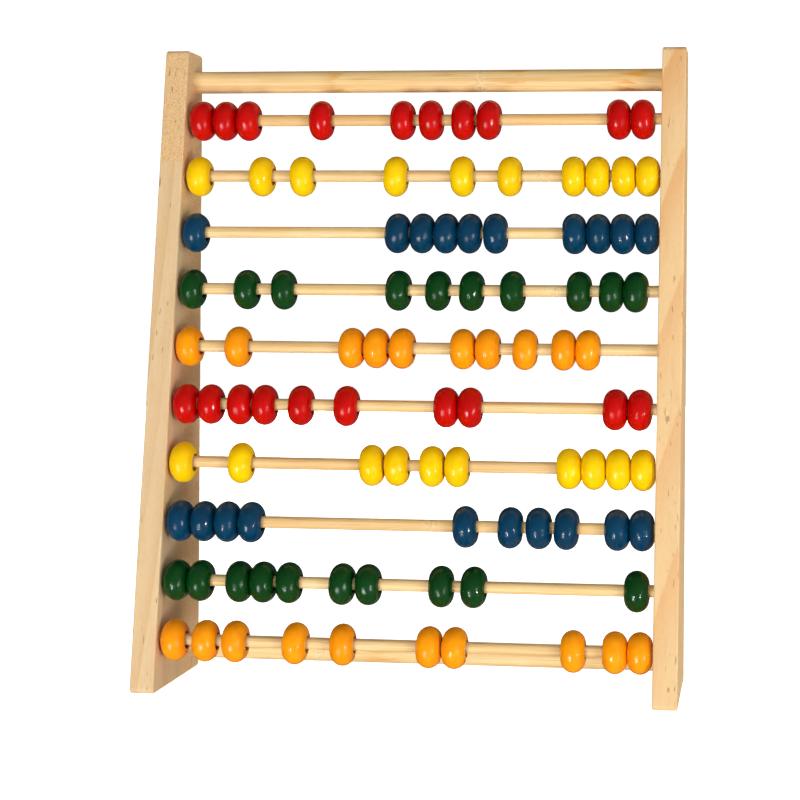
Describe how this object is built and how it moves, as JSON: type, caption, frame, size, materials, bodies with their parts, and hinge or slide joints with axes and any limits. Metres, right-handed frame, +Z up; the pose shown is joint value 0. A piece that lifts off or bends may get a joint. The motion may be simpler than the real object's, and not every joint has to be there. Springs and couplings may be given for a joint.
{
  "type": "abacus",
  "caption": "Wooden counting frame with leaning side panels, round crossbars and rows of flattened coloured beads that slide along thin rods.",
  "frame": {"origin": "middle of the footprint, on the surface that the side panels stand on", "axes": "+Z up, +Y to the back (the upright edges), -Y to the front (the leaning edges), +X to the right as seen from the front"},
  "size_m": [0.266, 0.0746, 0.319],
  "materials": {
    "pine": "planed and lightly sanded pale pine, clear matt finish",
    "bamboo": "smooth bare bamboo with fine lengthwise streaks",
    "red_lacquer": "glossy red lacquer on wood",
    "yellow_lacquer": "glossy yellow lacquer on wood",
    "blue_lacquer": "glossy blue lacquer on wood",
    "green_lacquer": "glossy dark green lacquer on wood",
    "orange_lacquer": "glossy orange lacquer on wood"
  },
  "bodies": {
    "frame": {"left_side_panel": "pine", "right_side_panel": "pine", "top_crossbar": "bamboo", "bottom_crossbar": "bamboo", "rod_01": "bamboo", "rod_02": "bamboo", "rod_03": "bamboo", "rod_04": "bamboo", "rod_05": "bamboo", "rod_06": "bamboo", "rod_07": "bamboo", "rod_08": "bamboo", "rod_09": "bamboo", "rod_10": "bamboo"},
    "row_01_red_beads_1": {"row_01_red_beads_1": "red_lacquer"},
    "row_01_red_beads_2": {"row_01_red_beads_2": "red_lacquer"},
    "row_01_red_beads_3": {"row_01_red_beads_3": "red_lacquer"},
    "row_01_red_beads_4": {"row_01_red_beads_4": "red_lacquer"},
    "row_02_yellow_beads_1": {"row_02_yellow_beads_1": "yellow_lacquer"},
    "row_02_yellow_beads_2": {"row_02_yellow_beads_2": "yellow_lacquer"},
    "row_02_yellow_beads_3": {"row_02_yellow_beads_3": "yellow_lacquer"},
    "row_02_yellow_beads_4": {"row_02_yellow_beads_4": "yellow_lacquer"},
    "row_02_yellow_beads_5": {"row_02_yellow_beads_5": "yellow_lacquer"},
    "row_02_yellow_beads_6": {"row_02_yellow_beads_6": "yellow_lacquer"},
    "row_02_yellow_beads_7": {"row_02_yellow_beads_7": "yellow_lacquer"},
    "row_03_blue_beads_1": {"row_03_blue_beads_1": "blue_lacquer"},
    "row_03_blue_beads_2": {"row_03_blue_beads_2": "blue_lacquer"},
    "row_03_blue_beads_3": {"row_03_blue_beads_3": "blue_lacquer"},
    "row_04_green_beads_1": {"row_04_green_beads_1": "green_lacquer"},
    "row_04_green_beads_2": {"row_04_green_beads_2": "green_lacquer"},
    "row_04_green_beads_3": {"row_04_green_beads_3": "green_lacquer"},
    "row_04_green_beads_4": {"row_04_green_beads_4": "green_lacquer"},
    "row_05_orange_beads_1": {"row_05_orange_beads_1": "orange_lacquer"},
    "row_05_orange_beads_2": {"row_05_orange_beads_2": "orange_lacquer"},
    "row_05_orange_beads_3": {"row_05_orange_beads_3": "orange_lacquer"},
    "row_05_orange_beads_4": {"row_05_orange_beads_4": "orange_lacquer"},
    "row_06_red_beads_1": {"row_06_red_beads_1": "red_lacquer"},
    "row_06_red_beads_2": {"row_06_red_beads_2": "red_lacquer"},
    "row_06_red_beads_3": {"row_06_red_beads_3": "red_lacquer"},
    "row_06_red_beads_4": {"row_06_red_beads_4": "red_lacquer"},
    "row_06_red_beads_5": {"row_06_red_beads_5": "red_lacquer"},
    "row_07_yellow_beads_1": {"row_07_yellow_beads_1": "yellow_lacquer"},
    "row_07_yellow_beads_2": {"row_07_yellow_beads_2": "yellow_lacquer"},
    "row_07_yellow_beads_3": {"row_07_yellow_beads_3": "yellow_lacquer"},
    "row_07_yellow_beads_4": {"row_07_yellow_beads_4": "yellow_lacquer"},
    "row_08_blue_beads_1": {"row_08_blue_beads_1": "blue_lacquer"},
    "row_08_blue_beads_2": {"row_08_blue_beads_2": "blue_lacquer"},
    "row_08_blue_beads_3": {"row_08_blue_beads_3": "blue_lacquer"},
    "row_08_blue_beads_4": {"row_08_blue_beads_4": "blue_lacquer"},
    "row_09_green_beads_1": {"row_09_green_beads_1": "green_lacquer"},
    "row_09_green_beads_2": {"row_09_green_beads_2": "green_lacquer"},
    "row_09_green_beads_3": {"row_09_green_beads_3": "green_lacquer"},
    "row_09_green_beads_4": {"row_09_green_beads_4": "green_lacquer"},
    "row_09_green_beads_5": {"row_09_green_beads_5": "green_lacquer"},
    "row_10_orange_beads_1": {"row_10_orange_beads_1": "orange_lacquer"},
    "row_10_orange_beads_2": {"row_10_orange_beads_2": "orange_lacquer"},
    "row_10_orange_beads_3": {"row_10_orange_beads_3": "orange_lacquer"},
    "row_10_orange_beads_4": {"row_10_orange_beads_4": "orange_lacquer"},
    "row_10_orange_beads_5": {"row_10_orange_beads_5": "orange_lacquer"},
    "row_10_orange_beads_6": {"row_10_orange_beads_6": "orange_lacquer"}
  },
  "joints": [
    {"name": "row_01_red_beads_1_slide", "type": "slide", "parent": "frame", "child": "row_01_red_beads_1", "axis": [1, 0, 0], "range_m": [-0.00075, 0.02575]},
    {"name": "row_01_red_beads_2_slide", "type": "slide", "parent": "frame", "child": "row_01_red_beads_2", "axis": [1, 0, 0], "range_m": [-0.02575, 0.02975]},
    {"name": "row_01_red_beads_3_slide", "type": "slide", "parent": "frame", "child": "row_01_red_beads_3", "axis": [1, 0, 0], "range_m": [-0.02975, 0.05325]},
    {"name": "row_01_red_beads_4_slide", "type": "slide", "parent": "frame", "child": "row_01_red_beads_4", "axis": [1, 0, 0], "range_m": [-0.05325, 0.00325]},
    {"name": "row_02_yellow_beads_1_slide", "type": "slide", "parent": "frame", "child": "row_02_yellow_beads_1", "axis": [1, 0, 0], "range_m": [-0.00075, 0.02025]},
    {"name": "row_02_yellow_beads_2_slide", "type": "slide", "parent": "frame", "child": "row_02_yellow_beads_2", "axis": [1, 0, 0], "range_m": [-0.02025, 0.00875]},
    {"name": "row_02_yellow_beads_3_slide", "type": "slide", "parent": "frame", "child": "row_02_yellow_beads_3", "axis": [1, 0, 0], "range_m": [-0.00875, 0.03575]},
    {"name": "row_02_yellow_beads_4_slide", "type": "slide", "parent": "frame", "child": "row_02_yellow_beads_4", "axis": [1, 0, 0], "range_m": [-0.03575, 0.02175]},
    {"name": "row_02_yellow_beads_5_slide", "type": "slide", "parent": "frame", "child": "row_02_yellow_beads_5", "axis": [1, 0, 0], "range_m": [-0.02175, 0.01175]},
    {"name": "row_02_yellow_beads_6_slide", "type": "slide", "parent": "frame", "child": "row_02_yellow_beads_6", "axis": [1, 0, 0], "range_m": [-0.01175, 0.01975]},
    {"name": "row_02_yellow_beads_7_slide", "type": "slide", "parent": "frame", "child": "row_02_yellow_beads_7", "axis": [1, 0, 0], "range_m": [-0.01975, 0.00025]},
    {"name": "row_03_blue_beads_1_slide", "type": "slide", "parent": "frame", "child": "row_03_blue_beads_1", "axis": [1, 0, 0], "range_m": [-0.00025, 0.09175]},
    {"name": "row_03_blue_beads_2_slide", "type": "slide", "parent": "frame", "child": "row_03_blue_beads_2", "axis": [1, 0, 0], "range_m": [-0.09175, 0.02725]},
    {"name": "row_03_blue_beads_3_slide", "type": "slide", "parent": "frame", "child": "row_03_blue_beads_3", "axis": [1, 0, 0], "range_m": [-0.02725, 0.00025]},
    {"name": "row_04_green_beads_1_slide", "type": "slide", "parent": "frame", "child": "row_04_green_beads_1", "axis": [1, 0, 0], "range_m": [-0.00025, 0.01575]},
    {"name": "row_04_green_beads_2_slide", "type": "slide", "parent": "frame", "child": "row_04_green_beads_2", "axis": [1, 0, 0], "range_m": [-0.01575, 0.04625]},
    {"name": "row_04_green_beads_3_slide", "type": "slide", "parent": "frame", "child": "row_04_green_beads_3", "axis": [1, 0, 0], "range_m": [-0.04625, 0.02075]},
    {"name": "row_04_green_beads_4_slide", "type": "slide", "parent": "frame", "child": "row_04_green_beads_4", "axis": [1, 0, 0], "range_m": [-0.02075, 0.00525]},
    {"name": "row_05_orange_beads_1_slide", "type": "slide", "parent": "frame", "child": "row_05_orange_beads_1", "axis": [1, 0, 0], "range_m": [-0.00025, 0.01275]},
    {"name": "row_05_orange_beads_2_slide", "type": "slide", "parent": "frame", "child": "row_05_orange_beads_2", "axis": [1, 0, 0], "range_m": [-0.01275, 0.04575]},
    {"name": "row_05_orange_beads_3_slide", "type": "slide", "parent": "frame", "child": "row_05_orange_beads_3", "axis": [1, 0, 0], "range_m": [-0.04575, 0.01825]},
    {"name": "row_05_orange_beads_4_slide", "type": "slide", "parent": "frame", "child": "row_05_orange_beads_4", "axis": [1, 0, 0], "range_m": [-0.01825, 0.02825]},
    {"name": "row_06_red_beads_1_slide", "type": "slide", "parent": "frame", "child": "row_06_red_beads_1", "axis": [1, 0, 0], "range_m": [-0.00025, 0.00625]},
    {"name": "row_06_red_beads_2_slide", "type": "slide", "parent": "frame", "child": "row_06_red_beads_2", "axis": [1, 0, 0], "range_m": [-0.00625, 0.01075]},
    {"name": "row_06_red_beads_3_slide", "type": "slide", "parent": "frame", "child": "row_06_red_beads_3", "axis": [1, 0, 0], "range_m": [-0.01075, 0.03775]},
    {"name": "row_06_red_beads_4_slide", "type": "slide", "parent": "frame", "child": "row_06_red_beads_4", "axis": [1, 0, 0], "range_m": [-0.03775, 0.05925]},
    {"name": "row_06_red_beads_5_slide", "type": "slide", "parent": "frame", "child": "row_06_red_beads_5", "axis": [1, 0, 0], "range_m": [-0.05925, 0.00225]},
    {"name": "row_07_yellow_beads_1_slide", "type": "slide", "parent": "frame", "child": "row_07_yellow_beads_1", "axis": [1, 0, 0], "range_m": [-0.00025, 0.01725]},
    {"name": "row_07_yellow_beads_2_slide", "type": "slide", "parent": "frame", "child": "row_07_yellow_beads_2", "axis": [1, 0, 0], "range_m": [-0.01725, 0.05375]},
    {"name": "row_07_yellow_beads_3_slide", "type": "slide", "parent": "frame", "child": "row_07_yellow_beads_3", "axis": [1, 0, 0], "range_m": [-0.05375, 0.04275]},
    {"name": "row_07_yellow_beads_4_slide", "type": "slide", "parent": "frame", "child": "row_07_yellow_beads_4", "axis": [1, 0, 0], "range_m": [-0.04275, 0.00025]},
    {"name": "row_08_blue_beads_1_slide", "type": "slide", "parent": "frame", "child": "row_08_blue_beads_1", "axis": [1, 0, 0], "range_m": [-0.00025, 0.09475]},
    {"name": "row_08_blue_beads_2_slide", "type": "slide", "parent": "frame", "child": "row_08_blue_beads_2", "axis": [1, 0, 0], "range_m": [-0.09475, 0.00975]},
    {"name": "row_08_blue_beads_3_slide", "type": "slide", "parent": "frame", "child": "row_08_blue_beads_3", "axis": [1, 0, 0], "range_m": [-0.00975, 0.01225]},
    {"name": "row_08_blue_beads_4_slide", "type": "slide", "parent": "frame", "child": "row_08_blue_beads_4", "axis": [1, 0, 0], "range_m": [-0.01225, 0.00025]},
    {"name": "row_09_green_beads_1_slide", "type": "slide", "parent": "frame", "child": "row_09_green_beads_1", "axis": [1, 0, 0], "range_m": [-0.00025, 0.00725]},
    {"name": "row_09_green_beads_2_slide", "type": "slide", "parent": "frame", "child": "row_09_green_beads_2", "axis": [1, 0, 0], "range_m": [-0.00725, 0.01425]},
    {"name": "row_09_green_beads_3_slide", "type": "slide", "parent": "frame", "child": "row_09_green_beads_3", "axis": [1, 0, 0], "range_m": [-0.01425, 0.02375]},
    {"name": "row_09_green_beads_4_slide", "type": "slide", "parent": "frame", "child": "row_09_green_beads_4", "axis": [1, 0, 0], "range_m": [-0.02375, 0.06675]},
    {"name": "row_09_green_beads_5_slide", "type": "slide", "parent": "frame", "child": "row_09_green_beads_5", "axis": [1, 0, 0], "range_m": [-0.06675, 0.00225]},
    {"name": "row_10_orange_beads_1_slide", "type": "slide", "parent": "frame", "child": "row_10_orange_beads_1", "axis": [1, 0, 0], "range_m": [-0.00075, 0.01775]},
    {"name": "row_10_orange_beads_2_slide", "type": "slide", "parent": "frame", "child": "row_10_orange_beads_2", "axis": [1, 0, 0], "range_m": [-0.01775, 0.01125]},
    {"name": "row_10_orange_beads_3_slide", "type": "slide", "parent": "frame", "child": "row_10_orange_beads_3", "axis": [1, 0, 0], "range_m": [-0.01125, 0.03025]},
    {"name": "row_10_orange_beads_4_slide", "type": "slide", "parent": "frame", "child": "row_10_orange_beads_4", "axis": [1, 0, 0], "range_m": [-0.03025, 0.04525]},
    {"name": "row_10_orange_beads_5_slide", "type": "slide", "parent": "frame", "child": "row_10_orange_beads_5", "axis": [1, 0, 0], "range_m": [-0.04525, 0.00775]},
    {"name": "row_10_orange_beads_6_slide", "type": "slide", "parent": "frame", "child": "row_10_orange_beads_6", "axis": [1, 0, 0], "range_m": [-0.00775, 0.00025]}
  ]
}
